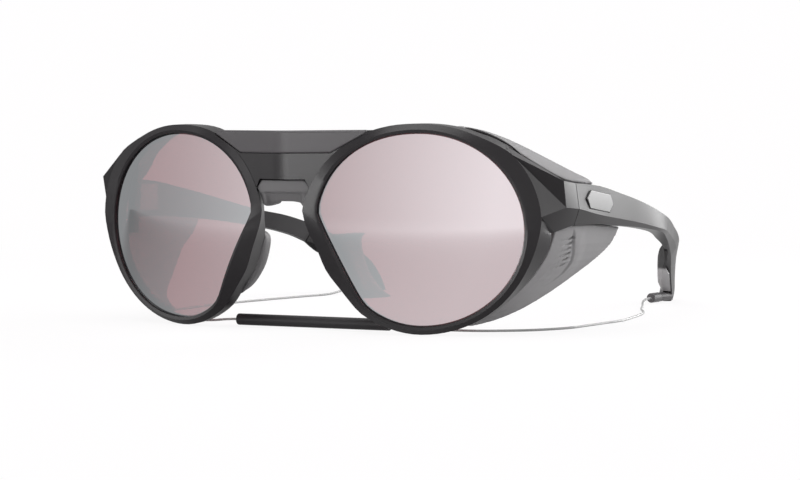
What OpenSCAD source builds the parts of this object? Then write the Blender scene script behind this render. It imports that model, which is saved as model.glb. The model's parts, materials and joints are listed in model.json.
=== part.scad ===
// Glacier glasses: a wrapped front with two round mirrored lenses, louvred side shields,
// folding arms with hooked ends and a leash with a rubber sleeve. They stand open, on the
// bottoms of their rims and on the ends of their arms. +X is the wearer's left, -Y the front.

/* [Lenses] */
// Width of a lens
lens_w = 56; // [52:0.5:60]
// Height of a lens
lens_h = 51.6; // [48:0.2:55]
// How far the nasal corner of a lens is cut back
nasal_cut = 4.9; // [3:0.1:6]
// Radius of the ball that a lens's front lies on
lens_curve_r = 80; // [74:1:110]
// Thickness of a lens
lens_t = 2; // [1.6:0.1:2.4]
// How deep a lens sits in the groove of its rim
lens_seat = 0.9; // [0.6:0.1:1.1]

/* [Front] */
// Distance between the lens centres
lens_pitch = 75.1; // [74:0.1:79]
// Angle that each lens is wrapped back by
wrap = 14.4; // [12:0.2:16]
// Angle that the front leans forward by as it stands
lean = 1.4; // [0:0.1:3]
// Width of the rim's face above the lens
rim_w = 2.3; // [2.1:0.1:3.5]
// Thickness of the rim's lips in front of and behind the lens
lip_t = 0.55; // [0.4:0.05:0.9]
// Thickness of the bridge behind the brow bar
bridge_t = 5.5; // [4:0.1:7]
// Thickness of the brow bar
bar_t = 1.5; // [1:0.1:2]
// Height of the brow bar
bar_h = 5.9; // [4.5:0.1:7]

/* [Arms] */
// Distance from the lens plane back to the hinge pins
hinge_y = 22.6; // [21.5:0.1:25]
// Distance between the outer faces of the arms at the hinges
hinge_span = 147.6; // [146:0.2:152]
// Thickness of an arm
arm_t = 4.2; // [3.8:0.1:5]
// Length of an arm from hinge pin to tip
arm_len = 122.4; // [116:0.2:130]
// Radius of a hinge knuckle
knuckle_r = 1.7; // [1.4:0.1:1.9]
// Radius of a hinge screw
screw_r = 0.7; // [0.5:0.05:0.9]
// Length of the plate let into each arm
badge_len = 18; // [12:0.5:20]
// Height of that plate
badge_h = 4.9; // [3:0.1:5.2]
// Thickness of the rubber on the ear end of an arm
sock_t = 0.9; // [0.5:0.1:1.4]

/* [Shields] */
// Thickness of a side shield
shield_t = 1.8; // [1.2:0.1:2.4]
// Number of vent slots in a side shield
vents = 6; // [3:1:7]
// Height of a vent slot
vent_h = 0.75; // [0.5:0.05:0.9]
// Distance between two vent slots
vent_pitch = 1.48; // [1.3:0.02:1.5]
// Length of a vent slot
vent_len = 7.6; // [5:0.2:8]

/* [Leash] */
// Diameter of the leash cable
cable_d = 0.7; // [0.6:0.1:1]
// Diameter of the rubber sleeve
sleeve_d = 3.2; // [2.6:0.1:4]
// Diameter of the collar on each connector
collar_d = 3; // [2.4:0.1:3.4]
// Length of a connector, collar included
connector_len = 10.9; // [9.5:0.1:13]

/* [Hidden] */

nylon = [0.10, 0.10, 0.11];
steel = [0.62, 0.62, 0.64];
rubber = [0.13, 0.12, 0.13];
fit = 0.08;                     // play between two pieces that seat in each other
seat = 0.25;                    // gap under a soft piece on its seat
run = 0.05;                     // play of a hinge screw in its bore

lens_x = lens_pitch / 2;
lens_z = lens_h / 2 + rim_w - 0.2;   // lens centre above the ground
edge_sag = 4.7;                 // how far a lens bulges out of the plane of its edge
ball_w = lens_curve_r - edge_sag;    // depth of the ball's centre behind that plane
nose_y = -9.2;                  // foremost point of the bridge
tip_y = hinge_y + arm_len;
mid_y = (nose_y + tip_y) / 2 + 0.1;  // moved to the origin, so that it is under the middle

// ---- curves and skins ----

// A point between p1 and p2 on a smooth curve through p0, p1, p2 and p3
function bend(p0, p1, p2, p3, t) =
    let (m1 = (p2 - p0) / 2, m2 = (p3 - p1) / 2)
    p1 * (2 * t ^ 3 - 3 * t ^ 2 + 1) + m1 * (t ^ 3 - 2 * t ^ 2 + t)
    + p2 * (3 * t ^ 2 - 2 * t ^ 3) + m2 * (t ^ 3 - t ^ 2);

// The points of an open smooth curve through a list, with some steps between two of them
function curve(p, steps) =
    let (last = len(p) - 1)
    [for (i = [0:last - 1], k = [0:steps - 1])
        bend(p[max(i - 1, 0)], p[i], p[i + 1], p[min(i + 2, last)], k / steps), p[last]];

// A smooth value at one angle from [angle, value] knots that go once round
function around(knots, angle) =
    let (n = len(knots),
         turn = knots[0][0] + ((angle - knots[0][0]) % 360 + 360) % 360,
         i = max([for (j = [0:n - 1]) if (knots[j][0] <= turn) j]),
         a = knots[i],
         b = i < n - 1 ? knots[i + 1] : knots[0] + [360, 0],
         before = i > 0 ? knots[i - 1] : knots[n - 1] - [360, 0],
         after = i < n - 2 ? knots[i + 2] : knots[i + 2 - n] + [360, 0],
         span = b[0] - a[0],
         t = (turn - a[0]) / span,
         slope_a = (b[1] - before[1]) / (b[0] - before[0]) * span,
         slope_b = (after[1] - a[1]) / (after[0] - a[0]) * span)
    a[1] * (2 * t ^ 3 - 3 * t ^ 2 + 1) + slope_a * (t ^ 3 - 2 * t ^ 2 + t)
    + b[1] * (3 * t ^ 2 - 2 * t ^ 3) + slope_b * (t ^ 3 - t ^ 2);

// A solid skinned over rings of points: joined end to start, or closed by fans
module skin(rings, loop = false) {
    n = len(rings);
    m = len(rings[0]);
    sides = [for (i = [0:loop ? n - 1 : n - 2], j = [0:m - 1])
        let (a = i * m + j, b = i * m + (j + 1) % m,
             c = ((i + 1) % n) * m + j, d = ((i + 1) % n) * m + (j + 1) % m)
        each [[a, b, d], [a, d, c]]];
    start = [for (j = [1:m - 2]) [0, j + 1, j]];
    end = [for (j = [1:m - 2]) (n - 1) * m * [1, 1, 1] + [0, j, j + 1]];
    points = [for (r = rings) each r];
    faces = loop ? sides : concat(sides, start, end);
    inside = [for (f = faces) points[f[0]] * cross(points[f[1]], points[f[2]])];
    inverted = inside * [for (f = faces) 1] > 0;
    polyhedron(points, [for (f = faces) inverted ? [f[0], f[2], f[1]] : f]);
}

// A plate of even thickness under a grid of points, with its faces turned outward
module plate(grid, thick) {
    n = len(grid);
    m = len(grid[0]);
    function normal(i, j) =
        let (v = cross(grid[min(i + 1, n - 1)][j] - grid[max(i - 1, 0)][j],
                       grid[i][min(j + 1, m - 1)] - grid[i][max(j - 1, 0)]))
        v / norm(v);
    function at(i, j, under) = under * n * m + i * m + j;
    function quad(a, b, c, d) = [[a, b, c], [a, c, d]];
    points = concat([for (row = grid) each row],
        [for (i = [0:n - 1], j = [0:m - 1]) grid[i][j] - thick * normal(i, j)]);
    polyhedron(points, concat(
        [for (i = [0:n - 2], j = [0:m - 2], u = [0, 1])
            each u == 0 ? quad(at(i, j, 0), at(i, j + 1, 0), at(i + 1, j + 1, 0), at(i + 1, j, 0))
                : quad(at(i, j, 1), at(i + 1, j, 1), at(i + 1, j + 1, 1), at(i, j + 1, 1))],
        [for (i = [0:n - 2])
            each quad(at(i, 0, 0), at(i + 1, 0, 0), at(i + 1, 0, 1), at(i, 0, 1))],
        [for (i = [0:n - 2])
            each quad(at(i, m - 1, 0), at(i, m - 1, 1), at(i + 1, m - 1, 1), at(i + 1, m - 1, 0))],
        [for (j = [0:m - 2])
            each quad(at(0, j, 0), at(0, j, 1), at(0, j + 1, 1), at(0, j + 1, 0))],
        [for (j = [0:m - 2])
            each quad(at(n - 1, j, 0), at(n - 1, j + 1, 0), at(n - 1, j + 1, 1), at(n - 1, j, 1))]));
}

// The plainest solid with the given corners
module block_of(corners) {
    hull() polyhedron(corners, [for (i = [0:len(corners) - 3]) [i, i + 1, i + 2]]);
}

module on_side(side) {
    mirror([side < 0 ? 1 : 0, 0, 0]) children();
}

module grounded() {
    translate([0, -mid_y, 0]) children();
}

module front_at() {
    grounded() translate([0, 0, lens_z]) rotate([lean, 0, 0]) children();
}

// ---- lenses and rims: u to the temple, v up, w back from the plane of the lens's edge ----

// Radius of the seen lens edge at an angle from the temple side, going up
function lens_r(angle) =
    let (c = cos(angle), s = sin(angle),
         half_w = lens_w / 2,
         reach = c > 0 ? half_w + 0.3 : s > 0 ? half_w + 0.8 : half_w - 3.4 + 4.2 * (-c) ^ 12,
         power = c < 0 && s > 0 ? 2.15 : 2,
         oval = ((abs(c) / reach) ^ power + (abs(s) / (lens_h / 2)) ^ power) ^ (-1 / power),
         cut = cos(angle - 207.7))
    cut < 0.5 ? oval : (oval ^ -60 + ((half_w - nasal_cut) / cut) ^ -60) ^ (-1 / 60);

// Depth of the lens's front and back at a radius from its middle
function lens_front(r) = ball_w - sqrt(lens_curve_r ^ 2 - r ^ 2);
function lens_back(r) = ball_w - sqrt((lens_curve_r - lens_t) ^ 2 - r ^ 2);

function lens_point(angle, r, w) =
    let (u = r * cos(angle))
    [lens_x + u * cos(wrap) - w * sin(wrap), u * sin(wrap) + w * cos(wrap), r * sin(angle)];

// Width of the rim's front face, its rear edge's reach past the front one, and its depth
face_knots = [[6, 4.6], [38, 4.7], [50, 3.5], [60, 2.8], [90, 2.3], [118, 2.7], [140, 2.9],
    [160, 3.4], [169, 4.0], [179, 4.7], [190, 4.6], [203, 4.9], [217, 3.8], [240, 2.3],
    [270, 2.1], [309, 2.2], [339, 2.6], [354, 3.5]];
flare_knots = [[0, 1.6], [6, -0.8], [34, -0.8], [46, 0.7], [60, 0.5], [90, 0], [120, 0.1], [155, -1.5], [169, -2.6],
    [181, -3.1], [203, -2.2], [217, -1.4], [240, -0.7], [270, -0.1], [303, 0.1], [324, 0.5],
    [342, 1.8], [353, 2.5]];
depth_knots = [[0, 6.8], [40, 5.2], [90, 4.6], [120, 5.2], [150, 5.0], [165, 3.8], [172, 3.8],
    [183, 6.4], [192, 6.6], [207, 5.9], [223, 5.0], [240, 4.3], [270, 3.6], [313, 3.6], [334, 4.6],
    [345, 5.6]];
stations = 80;

function face_r(angle) = lens_r(angle) + around(face_knots, angle) + rim_w - 2.3;

function rim_ring(angle) =
    let (r = lens_r(angle),
         out = r + lens_seat + fit,
         outer = face_r(angle),
         rear = max(outer + around(flare_knots, angle), out + 0.5),
         back_r = r + 0.2)
    [lens_point(angle, r, lens_front(r) - fit - lip_t),
     lens_point(angle, r + 0.8, lens_front(r) - fit - lip_t - 0.15),
     lens_point(angle, outer, 0.2),
     lens_point(angle, rear, around(depth_knots, angle)),
     lens_point(angle, back_r, lens_back(back_r) + fit + 3 * lip_t),
     lens_point(angle, back_r, lens_back(back_r) + fit),
     lens_point(angle, out, lens_back(out) + fit),
     lens_point(angle, out, lens_front(out) - fit),
     lens_point(angle, r, lens_front(r) - fit)];

module rim() {
    skin([for (i = [0:stations - 1]) rim_ring(-360 / stations * i)], loop = true);
}

module lens(side) {
    color([0.80, 0.76, 0.78]) front_at() on_side(side)
    translate([lens_x, 0, 0]) rotate([0, 0, wrap]) intersection() {
        translate([0, ball_w, 0]) difference() {
            sphere(lens_curve_r, $fn = 180);
            sphere(lens_curve_r - lens_t, $fn = 180);
        }
        rotate([90, 0, 0]) translate([0, 0, -lens_h / 4]) linear_extrude(lens_h / 2)
            polygon([for (i = [0:stations - 1]) let (a = 360 / stations * i)
                (lens_r(a) + lens_seat) * [cos(a), sin(a)]]);
    }
}

// ---- bridge, brow bar and nose rubbers ----

// Front of the bridge at a distance from the middle: two wrapped planes with a round nose
function bridge_front(x) =
    -(lens_x - max(abs(x), 3)) * tan(wrap) + 0.3 + (abs(x) < 3 ? -0.12 * (3 - abs(x)) : 0);

half_h = lens_h / 2;
nose_x = lens_pitch / 2 - lens_w / 2;    // where the lenses come nearest to the middle
window_x = nose_x - 1.11 * rim_w;        // half width of the nose window
window_top = 0.527 * half_h;
bar_top = half_h + 0.6;
bar_bottom = bar_top - bar_h;
bar_x = window_x + 7;           // half length of the bar's lower edge
bar_end_x = window_x + 16.4;    // half length of its upper edge

// Lower edge of the bar, rising along the rims
function bar_low(x) = bar_bottom + max(abs(x) - bar_x, 0) / (bar_end_x - bar_x) * (bar_h - 0.9);

// Under side of the bridge, from the nose window out into the rims
function bridge_low(x) = lookup(abs(x) - window_x, [[0, window_top], [1.5, 0.426 * half_h],
    [2.5, 0.465 * half_h], [4, 0.55 * half_h], [7, 0.713 * half_h], [12, 0.876 * half_h],
    [16.4, 0.961 * half_h]]);

half_stops = concat([1, 3], [for (x = [0, 1.5, 2.5, 4, 7, 12, 16.4]) window_x + x]);
function both_ways(list) = concat([for (i = [len(list) - 1:-1:0]) -list[i]], list);

module bridge() {
    skin([for (x = both_ways(half_stops)) let (
            y = bridge_front(x), low = bridge_low(x), back = y + bridge_t + 0.10 * abs(x))
        [[x, y, low], [x, y, bar_top - 0.6], [x, y + 0.6, bar_top], [x, back - 1.2, bar_top],
         [x, back, bar_top - 1.2], [x, back, low + 0.05]]]);
}

// The bar, or with room round it the pocket that it is let into
module bar_solid(room) {
    pocket = room > 0 ? 1 : 0;
    end = bar_end_x + room;
    stops = concat([for (x = half_stops) if (x < bar_end_x) x], end);
    skin([for (x = both_ways(stops)) let (
            y = bridge_front(x), low = bar_low(x) - room, top = bar_top + 0.2 + pocket,
            front = y - 0.1 - 3 * pocket)
        [[x, front, low + 0.35 - 0.35 * pocket], [x, front, top - 0.5], [x, front + 0.5, top],
         [x, y + bar_t - fit + room, top], [x, y + bar_t - fit + room, low],
         [x, front + 0.3, low]]]);
}

module brow_bar() {
    color([0.42, 0.42, 0.41]) front_at() bar_solid(0);
}

// The saddle's slices in the window, on the wearer's left half: x as a share of the
// window's half width, then top and bottom as shares of the window's height
saddle_slices = [[1.171, 0.846, 0.779], [1.086, 0.912, 0.662], [0.943, 0.985, 0.485],
    [0.843, 0.985, 0.449], [0.671, 0.985, 0.449], [0.571, 0.985, 0.522], [0.286, 0.985, 0.544]];

module nose_saddle() {
    half = [for (s = saddle_slices)
        [s[0] * window_x, s[1] * window_top - 0.1, s[2] * window_top]];
    all = concat(half, [for (i = [len(half) - 1:-1:0]) [-half[i][0], half[i][1], half[i][2]]]);
    color(rubber) front_at() skin([for (s = all) let (
            y = bridge_front(s[0]), top = s[1], low = s[2],
            step = max(low + 0.3, min(0.735 * window_top, top - 0.3)),
            lip = abs(s[0]) > 0.72 * window_x ? 0.6 : 2.8)
        [[s[0], y + 0.5, top], [s[0], y + 0.5, step], [s[0], y + 0.5 + lip * 0.5, step - 0.2],
         [s[0], y + 0.5 + lip, low], [s[0], -0.5, low + 0.4], [s[0], -0.5, top]]]);
}

// The pads' slices behind a nasal rim: height as a share of half the lens's, then how far
// out from the lens's nasal edge the groove and the contour are
pad_slices = [[-0.062, 0.85, 3.65], [-0.112, 0.85, 2.05], [-0.229, 1.95, 2.15],
    [-0.419, 3.95, 3.65], [-0.578, 5.95, 6.25], [-0.671, 7.25, 8.65], [-0.725, 8.75, 11.05]];

module nose_pad(side) {
    color(rubber) front_at() on_side(side) skin([for (s = curve(pad_slices, 3)) let (
            g = s[1], c = s[2])
        [for (p = [[g, seat + 0.1], [(g + c) / 2 - 0.3, 1.9], [c, 4], [c + 0.8, 6.6], [c + 2.4, 8.4],
                   [c + 4.2, 8.0], [c + 5, 5.6], [g + 4.2, 0.4], [g + 3.2, -1.2 + seat]])
            [nose_x + p[0], p[1], s[0] * half_h]]]);
}

// ---- end pieces and hinges ----

span_x = hinge_span / 2;        // outer face of the arms at the hinge
inner_x = span_x - arm_t;       // their inner face
top_z = lens_z + 0.473 * half_h;      // top edge, ridge and bottom edge of an arm at the hinge
ridge_z = lens_z + 0.209 * half_h;
foot_z = lens_z + 0.039 * half_h;
leaf_low = foot_z + 1.7;
pin_x = inner_x + 0.6;
leaf_t = 1;
leaf_x = pin_x - knuckle_r;     // inner face of the hinge leaves
knuckle_h = 1.5;
knuckle_gap = 0.06;
leaf_h = 5 * knuckle_h + 4 * knuckle_gap;
front_leaf = 6.5;               // how far a hinge's two leaves reach from its pin
temple_leaf = 12;
split = 0.3;                    // gap between an end piece and its arm

// Corners of the faceted end piece, on the ground's axes; the split leans with the arm's end
function split_y(z) = hinge_y - 1.6 + (top_z - z) * 0.165;
end_a = lens_point(38, face_r(38), 0.2);
end_b = [span_x - 0.5, hinge_y - 9, 0.492 * half_h];
end_c = [span_x - 0.5, hinge_y - 7.5, 0.217 * half_h];
end_d = lens_point(6, face_r(6), 0.2);
end_e = [inner_x, hinge_y - 7.3, -0.04 * half_h];

function leaned(p) =
    [p.x, p.y * cos(lean) - p.z * sin(lean), p.y * sin(lean) + p.z * cos(lean) + lens_z];

module end_piece() {
    a = leaned(end_a);
    b = leaned(end_b);
    c = leaned(end_c);
    d = leaned(end_d);
    e = leaned(end_e);
    f = [span_x - 0.5, split_y(top_z), top_z];
    g = [span_x, split_y(ridge_z), ridge_z];
    h = [span_x - 1.8, split_y(foot_z), foot_z];
    rim_high = leaned(lens_point(36, lens_r(36) + 3, 4.6));
    rim_low = leaned(lens_point(-3, lens_r(-3) + 3, 5.2));
    in_high = [inner_x, f.y - 3, top_z - 0.2];
    in_low = [inner_x, h.y - 4, foot_z];
    rim_top = leaned(lens_point(46, face_r(46) + around(flare_knots, 46) - 0.3, 4.8));
    block_of([a, b, c, d, e, rim_high, rim_low, rim_top, in_high, in_low,
        [rim_low.x, rim_low.y, d.z]]);
    block_of([b, c, e, f, g, h, in_high, in_low, [inner_x, f.y, top_z - 0.2], [inner_x, h.y, foot_z]]);
}

module frame_front() {
    color(nylon) difference() {
        union() {
            for (side = [-1, 1]) {
                front_at() on_side(side) rim();
                grounded() on_side(side) end_piece();
            }
            front_at() bridge();
        }
        front_at() bar_solid(fit);
        for (side = [-1, 1]) grounded() on_side(side) {
            hinge_notch();
            leaf_pocket(-1, front_leaf);
        }
    }
}

// Room for the knuckles in an end piece and in an arm
module hinge_notch() {
    translate([pin_x, hinge_y, leaf_low - 0.5])
        cylinder(r = knuckle_r + 0.25, h = leaf_h + 1.5, $fn = 48);
    translate([pin_x, hinge_y, foot_z - 1]) cylinder(r = 1, h = 4, $fn = 32);
}

// Recess that a leaf is let into, open to the inside
module leaf_pocket(way, length) {
    reach = length + fit;
    translate([leaf_x - 4, way > 0 ? hinge_y : hinge_y - reach, leaf_low - fit])
        cube([4 + leaf_t + fit, reach, leaf_h + 2 * fit]);
}

// One leaf: a plate and its knuckles; way is -1 for the end piece's leaf and 1 for the arm's
module leaf(way, knuckles, length) {
    start = knuckle_r + 0.9;
    difference() {
        union() {
            translate([leaf_x, way > 0 ? hinge_y + start : hinge_y - length, leaf_low])
                cube([leaf_t, length - start, leaf_h]);
            for (k = knuckles) translate([0, 0, leaf_low + k * (knuckle_h + knuckle_gap)]) {
                translate([pin_x, hinge_y, 0]) cylinder(r = knuckle_r, h = knuckle_h, $fn = 48);
                translate([leaf_x, way > 0 ? hinge_y : hinge_y - start - 0.5, 0])
                    cube([leaf_t, start + 0.5, knuckle_h]);
            }
        }
        translate([pin_x, hinge_y, leaf_low - 1])
            cylinder(r = screw_r + run, h = leaf_h + 2, $fn = 32);
    }
}

module hinge_leaf_front(side) {
    color(steel) grounded() on_side(side) leaf(-1, [0, 2, 4], front_leaf);
}

module hinge_leaf_temple(side) {
    color(steel) grounded() on_side(side) leaf(1, [1, 3], temple_leaf);
}

module hinge_screw(side) {
    color(steel) grounded() on_side(side) translate([pin_x, hinge_y, leaf_low]) {
        cylinder(r = screw_r, h = leaf_h + 0.1, $fn = 32);
        difference() {
            translate([0, 0, leaf_h + 0.06]) cylinder(r = screw_r + 0.5, h = 0.7, $fn = 32);
            translate([-2, -0.15, leaf_h + 0.46]) cube([4, 0.3, 1]);
        }
    }
}

// ---- arms ----

// Outer face of an arm: [top edge, ridge, bottom edge], measured from the hinge's corner:
// x out from the face at the hinge, y back from the pin, z from the ground
arm_stops = [
    [[-0.5, 0, 40.1], [0, 0, 33.3], [-1.8, 0, 28.9]],
    [[0.1, 13.4, 39.0], [0.3, 13.4, 31.2], [-0.9, 13.4, 28.7]],
    [[0.3, 27.4, 36.7], [0.4, 27.4, 29.6], [-0.8, 27.4, 27.7]],
    [[0.3, 41.4, 34.2], [0.3, 42.4, 27.9], [-0.6, 42.4, 26.6]],
    [[-0.4, 55.4, 31.4], [-0.3, 56.9, 26.0], [-0.8, 57.9, 25.0]],
    [[-2.0, 68.4, 28.7], [-1.9, 68.0, 24.6], [-2.4, 67.4, 23.6]],
    [[-4.9, 79.4, 26.8], [-4.8, 78.1, 23.0], [-5.2, 76.6, 21.8]],
    [[-7.3, 88.4, 24.6], [-7.1, 86.5, 21.4], [-7.6, 84.4, 19.8]],
    [[-8.8, 95.0, 22.5], [-8.7, 92.6, 19.8], [-9.4, 90.2, 17.6]],
    [[-10.3, 100.2, 20.4], [-10.2, 97.4, 17.8], [-10.9, 94.9, 15.6]],
    [[-12.2, 104.6, 18.3], [-12.0, 101.8, 15.8], [-12.6, 99.3, 13.4]],
    [[-15.2, 110.6, 14.4], [-14.6, 107.8, 12.0], [-14.8, 104.9, 9.9]],
    [[-17.8, 116.4, 10.0], [-16.8, 113.4, 8.2], [-16.6, 110.0, 6.2]],
    [[-19.8, 120.6, 4.4], [-18.6, 118.0, 3.2], [-17.9, 114.0, 2.2]],
    [[-21.0, 122.4, 0], [-19.9, 119.6, 0], [-18.7, 115.0, 0]]];

// The same edges smoothed and set on the ground's axes, for the arm's own length and height
arm_scale = arm_len / arm_stops[len(arm_stops) - 1][0].y;
function arm_z(k, z) = z * [top_z, ridge_z, foot_z][k] / arm_stops[0][k].z;
arm_steps = 3;
function arm_edge(k) = curve([for (s = arm_stops)
    [span_x + s[k].x * arm_scale, hinge_y + s[k].y * arm_scale, arm_z(k, s[k].z)]], arm_steps);
arm_top = arm_edge(0);
arm_ridge = arm_edge(1);
arm_foot = arm_edge(2);
arm_last = len(arm_top) - 1;

// Inward normal of the arm at one of its slices, level with the ground
function inward(i) =
    let (d = arm_top[min(i + 1, arm_last)] - arm_top[max(i - 1, 0)],
         h = norm([d.x, d.y]))
    [-d.y, d.x, 0] / h;

// Thickness of the arm, thinner toward the tip and thinnest in the bend
function waist(i) = 1.3 * max(0, 1 - ((i - 24) / 8) ^ 2) ^ 2;
function arm_thick(i) = arm_t - 0.5 * max(0, i / arm_last - 0.6) - waist(i);

// Points of the inner face opposite the top and the bottom edge
function inner_of(p, i) = p + inward(i) * (arm_thick(i) - (p - arm_ridge[i]) * inward(i));
function arm_inner_top(i) = inner_of(arm_top[i], i);
function arm_inner_foot(i) = inner_of(arm_foot[i], i);

function arm_ring(i) =
    let (cut = i == 0 ? 1 : 0,
         ring = [arm_top[i], arm_ridge[i], arm_foot[i], arm_inner_foot(i), arm_inner_top(i)])
    [for (p = ring) cut ? [p.x, split_y(p.z) + split, p.z] : p];

badge_y = 13.4;                 // middle of the plate behind the pin
badge_z = ridge_z + 1.5;
badge_tilt = -6.8;
badge_t = 0.8;

module badge_shape(grow) {
    x = badge_len / 2 + grow;
    y = badge_h / 2 + grow;
    polygon([[-x, 0], [-x + y, y], [x - y, y], [x, 0], [x - y, -y], [-x + y, -y]]);
}

module badge_at() {
    translate([span_x + 0.2, hinge_y + badge_y, badge_z]) rotate([badge_tilt, 0, 0])
        rotate([90, 0, 90]) children();
}

// Axis of the connector: it leaves the front of the arm's tip and lies along the ground
connector_rise = collar_d / 2 + 0.2;
connector_turn = 7.5;
function connector_root() = [span_x - 19.4 * arm_scale, tip_y - 8.4 * arm_scale, connector_rise];

module connector_at() {
    translate(connector_root()) rotate([90, 0, -connector_turn]) children();
}
function connector_end() = connector_root()
    + connector_len * [-sin(connector_turn), -cos(connector_turn), 0];
socket_deep = 1.3;
barrel_d = collar_d - 0.2;

module temple(side) {
    color(nylon) grounded() on_side(side) difference() {
        skin([for (i = [0:arm_last]) arm_ring(i)]);
        hinge_notch();
        leaf_pocket(1, temple_leaf);
        badge_at() translate([0, 0, -badge_t]) linear_extrude(3) badge_shape(fit);
        connector_at() translate([0, 0, -socket_deep - fit])
            cylinder(d = barrel_d + 2 * fit, h = 2 * socket_deep + 2, $fn = 32);
    }
}

module temple_badge(side) {
    color(steel) grounded() on_side(side)
        badge_at() translate([0, 0, fit - badge_t]) linear_extrude(badge_t + 0.15) badge_shape(0);
}

// Rubber on the inner side of the arm's end, lower down on its front side as well
sock_first = 3 * 8;
sock_last = 3 * 13 - 1;
module ear_sock(side) {
    function ring(i) =
        let (n = inward(i),
             foot = arm_foot[i],
             inner = arm_inner_foot(i),
             rise = arm_inner_top(i) - inner,
             up = rise / norm(rise),
             wide = norm(inner - foot) - 0.7,
             edge = wide - (wide - 0.5) * max(0, min(1, (i - 31.2) / 2)),
             t = sock_t * min(1.45, 0.3 + (i - sock_first) / 6, 0.3 + (sock_last - i) / 1.7)
                 + waist(i) * min(1, (i - sock_first) / 4))
        [inner + n * 1.5 * fit - up * 1.5 * fit,
         foot + n * edge - up * 1.5 * fit,
         foot + n * edge - up * t,
         inner + n * 0.2 - up * t,
         inner + n * t + up * 0.2,
         inner + n * t + up * 3.6,
         inner + n * fit + up * 3.8];
    color([0.50, 0.50, 0.50]) grounded() on_side(side)
        skin([for (i = [sock_first:sock_last]) ring(i)]);
}

// ---- side shields ----

// Front and rear edge of the upper and of the lower lobe, on the ground's axes
high_front = [[44, 8.3, 55.2], [50, 9.3, 54.0], [56, 10.6, 51.3], [61, 12.2, 48.3],
    [66, 16.5, 44.2], [71.1, 19.4, 41.2], [72.8, 24.0, 40.5], [73.4, 29.0, 39.9]];
high_rear = [[44.5, 10.4, 55.4], [50, 14.5, 54.0], [55.5, 18.0, 51.6], [60.5, 21.0, 48.8],
    [65, 25.0, 45.8], [69.8, 28.9, 42.7], [72.7, 30.5, 41.1], [73.6, 31.8, 39.9]];
low_front = [[69.1, 17.2, 27.3], [68.2, 15.8, 22.8], [66.6, 14.4, 18.8], [63.6, 12.6, 14.2],
    [59.8, 10.9, 10.2], [55.4, 9.5, 6.6], [51.2, 8.6, 4.0], [47.0, 8.1, 2.2]];
low_rear = [[70.6, 57.4, 26.7], [70.0, 53.4, 22.6], [68.6, 46.6, 19.0], [66.0, 39.7, 15.3],
    [62.0, 29.9, 10.3], [57.8, 20.6, 6.2], [52.6, 14.6, 3.4], [47.6, 10.6, 2.0]];

// The same points with the frame's height, and the nearer to the hinge the more they keep
// their place against it
function shielded(points) = [for (p = points)
    let (share = max(0, min(1, (p.x - 50) / 20)))
    [p.x + share * (span_x - 73.8), p.y + share * (hinge_y - 22.6), p.z * top_z / 40.1]];

arm_gap = 0.3;                  // room between the shields and an arm
// Heights that the lower lobe's upper edge keeps under the end piece and the arm
under_arm = concat([[hinge_y - 7.3, leaned(end_e).z - arm_gap], [hinge_y - 3, foot_z - 0.7 - arm_gap]],
    [for (i = [0:12]) [arm_foot[i].y, arm_foot[i].z - arm_gap - 0.05]]);

// A lobe's surface: rows from its front to its rear edge, bulged outward near the front;
// its first rows rise to a line of [y, z] if there is one
function lobe(front, rear, bulge, line = []) =
    let (f = curve(shielded(front), 2), r = curve(shielded(rear), 2), rows = 8)
    [for (i = [0:len(f) - 1]) [for (k = [0:rows]) let (t = k / rows, b = 6.75 * t * (1 - t) ^ 2,
            first = f[0] * (1 - t) + r[0] * t,
            rise = len(line) > 0 ? max(0, 1 - i / 4) * (lookup(first.y, line) - first.z) : 0)
        f[i] * (1 - t) + r[i] * t + bulge * b * min(1, norm(r[i] - f[i]) / 30) + [0, 0, rise]]];

// One vent: a wedge that is deepest at its rear end and runs out at its front end
vent_at = shielded([[69.15, 22.7, 21.3]])[0];
vent_lean = 40;                 // how far the vents slope down outward
module vent(turn) {
    function end(y, deep, h) = [[-deep, y, -h / 2], [4, y, -h / 2], [4, y, h / 2], [-deep, y, h / 2]];
    rotate([turn, vent_lean, 0])
        skin([end(-vent_len / 2, 1.05, 0.3 * vent_h), end(vent_len / 2, 1.2, vent_h)]);
}

module side_shield(side) {
    color([0.48, 0.46, 0.47]) grounded() on_side(side) difference() {
        union() {
            plate(lobe(high_front, high_rear, [0.2, 0, 0.4]), shield_t);
            plate(lobe(low_front, low_rear, [1.2, 0, 0], under_arm), shield_t);
            shield_band();
        }
        for (i = [0:vents - 1]) let (k = i - (vents - 1) / 2, up = k * vent_pitch)
            translate(vent_at + [0.31 * up - 0.033 * up ^ 2, 0.35 * k, up]) vent(12.5 - 2.1 * k);
        arm_room();
        brow_slot();
    }
}

// Room round the arm's hinge end
module arm_room() {
    start = hinge_y - 2.2;
    translate([inner_x - 3, 0, 0]) rotate([90, 0, 90]) linear_extrude(12) polygon(concat(
        [[start, foot_z - 0.35 - arm_gap]],
        [for (i = [0:12]) [arm_foot[i].y, arm_foot[i].z - arm_gap]],
        [for (i = [12:-1:0]) [arm_top[i].y, arm_top[i].z + arm_gap]],
        [[start, top_z + arm_gap]]));
    translate([inner_x - 0.3, 0, 0]) rotate([90, 0, 90]) linear_extrude(8) polygon([
        [start - 4, foot_z + 4], [start + 0.1, foot_z + 4],
        [start + 0.1, top_z + 0.15], [start - 4, top_z + 0.55]]);
}

// A slot under the upper lobe's front edge, over the rim
module brow_slot() {
    f = curve(shielded(high_front), 2);
    r = curve(shielded(high_rear), 2);
    skin([for (i = [1:7]) let (
            deep = 1.7 * min(1, (i - 0.4) / 2, (7.6 - i) / 2),
            back = (r[i] - f[i]) / norm(r[i] - f[i]) * deep,
            lip = [0, 0, 0.45])
        [f[i] - lip - [0, 3, 0], f[i] - lip + back, f[i] + back - [0, 0, 3], f[i] - [0, 3, 3]]]);
}

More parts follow.
